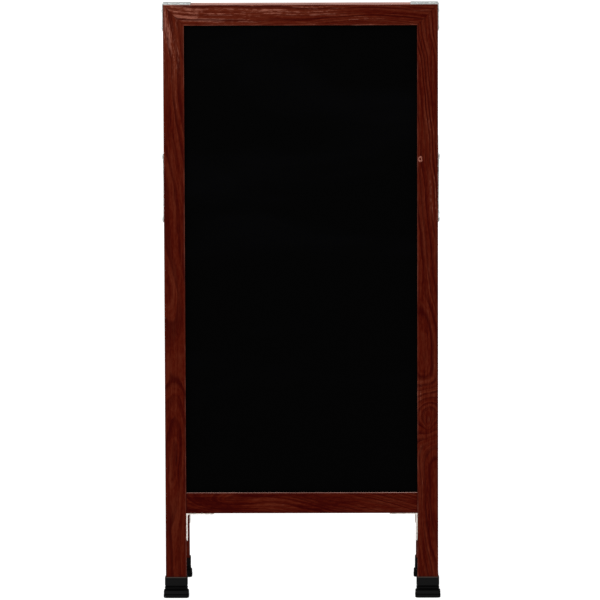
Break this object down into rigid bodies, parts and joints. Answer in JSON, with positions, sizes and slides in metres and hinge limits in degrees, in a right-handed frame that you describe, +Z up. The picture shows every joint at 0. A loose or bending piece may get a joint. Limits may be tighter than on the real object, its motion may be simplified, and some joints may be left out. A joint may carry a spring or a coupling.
{
  "type": "menu chalkboard easel",
  "caption": "Free-standing two-sided menu chalkboard: cherry-stained oak frames hinged at the top, with folding side braces and rubber boots.",
  "frame": {"origin": "middle of the footprint on the floor, between the front and rear feet", "axes": "+Z up, +X to the right as seen from the front, -Y towards the front board; the hinge axis runs along X at the top"},
  "size_m": [0.509, 0.2056, 1.0855],
  "materials": {
    "cherry_oak": "dark cherry stain, satin lacquer, open oak grain",
    "bare_hardwood": "unfinished",
    "chalk_surface": "matte black writing coat on composition board",
    "hardboard": "plain hardboard",
    "zinc_steel": "bright zinc plate",
    "black_rubber": "moulded, matte"
  },
  "bodies": {
    "front_frame": {"front_backing_panel": "hardboard", "front_bottom_rail": "cherry_oak", "front_corner_brace_screws": "zinc_steel", "front_hinge_screws": "zinc_steel", "front_left_boot": "black_rubber", "front_left_corner_brace": "zinc_steel", "front_left_hinge_leaf": "zinc_steel", "front_left_stile": "cherry_oak", "front_link_pivots": "zinc_steel", "front_mitre_splines": "bare_hardwood", "front_rail_dowels": "bare_hardwood", "front_right_boot": "black_rubber", "front_right_corner_brace": "zinc_steel", "front_right_hinge_leaf": "zinc_steel", "front_right_stile": "cherry_oak", "front_top_rail": "cherry_oak", "front_writing_panel": "chalk_surface", "left_hinge_pin": "zinc_steel", "right_hinge_pin": "zinc_steel"},
    "rear_frame": {"rear_backing_panel": "hardboard", "rear_bottom_rail": "cherry_oak", "rear_corner_brace_screws": "zinc_steel", "rear_hinge_screws": "zinc_steel", "rear_left_boot": "black_rubber", "rear_left_corner_brace": "zinc_steel", "rear_left_hinge_leaf": "zinc_steel", "rear_left_stile": "cherry_oak", "rear_link_pivots": "zinc_steel", "rear_link_spacers": "zinc_steel", "rear_mitre_splines": "bare_hardwood", "rear_rail_dowels": "bare_hardwood", "rear_right_boot": "black_rubber", "rear_right_corner_brace": "zinc_steel", "rear_right_hinge_leaf": "zinc_steel", "rear_right_stile": "cherry_oak", "rear_top_rail": "cherry_oak", "rear_writing_panel": "chalk_surface"},
    "left_front_link": {"left_front_link": "zinc_steel"},
    "right_front_link": {"right_front_link": "zinc_steel"},
    "left_rear_link": {"left_rear_link": "zinc_steel", "left_knee_rivet": "zinc_steel"},
    "right_rear_link": {"right_rear_link": "zinc_steel", "right_knee_rivet": "zinc_steel"}
  },
  "joints": [
    {"name": "frame_hinge", "type": "hinge", "parent": "front_frame", "child": "rear_frame", "pos_m": [0, 0, 1.08244], "axis": [1, 0, 0], "range_deg": [-7.6, 16]},
    {"name": "left_front_link_pivot", "type": "hinge", "parent": "front_frame", "child": "left_front_link", "pos_m": [-0.2509, -0.04034, 0.69331], "axis": [1, 0, 0], "range_deg": [-24, 12]},
    {"name": "left_rear_link_pivot", "type": "hinge", "parent": "rear_frame", "child": "left_rear_link", "pos_m": [-0.2524, 0.04034, 0.69331], "axis": [1, 0, 0], "range_deg": [-12, 24]},
    {"name": "right_front_link_pivot", "type": "hinge", "parent": "front_frame", "child": "right_front_link", "pos_m": [0.2509, -0.04034, 0.69331], "axis": [1, 0, 0], "range_deg": [-24, 12]},
    {"name": "right_rear_link_pivot", "type": "hinge", "parent": "rear_frame", "child": "right_rear_link", "pos_m": [0.2524, 0.04034, 0.69331], "axis": [1, 0, 0], "range_deg": [-12, 24]}
  ],
  "couplings": [
    {"joint": "left_front_link_pivot", "follows": "frame_hinge", "ratio": -1.43},
    {"joint": "left_rear_link_pivot", "follows": "frame_hinge", "ratio": 1.43},
    {"joint": "right_front_link_pivot", "follows": "frame_hinge", "ratio": -1.43},
    {"joint": "right_rear_link_pivot", "follows": "frame_hinge", "ratio": 1.43}
  ]
}
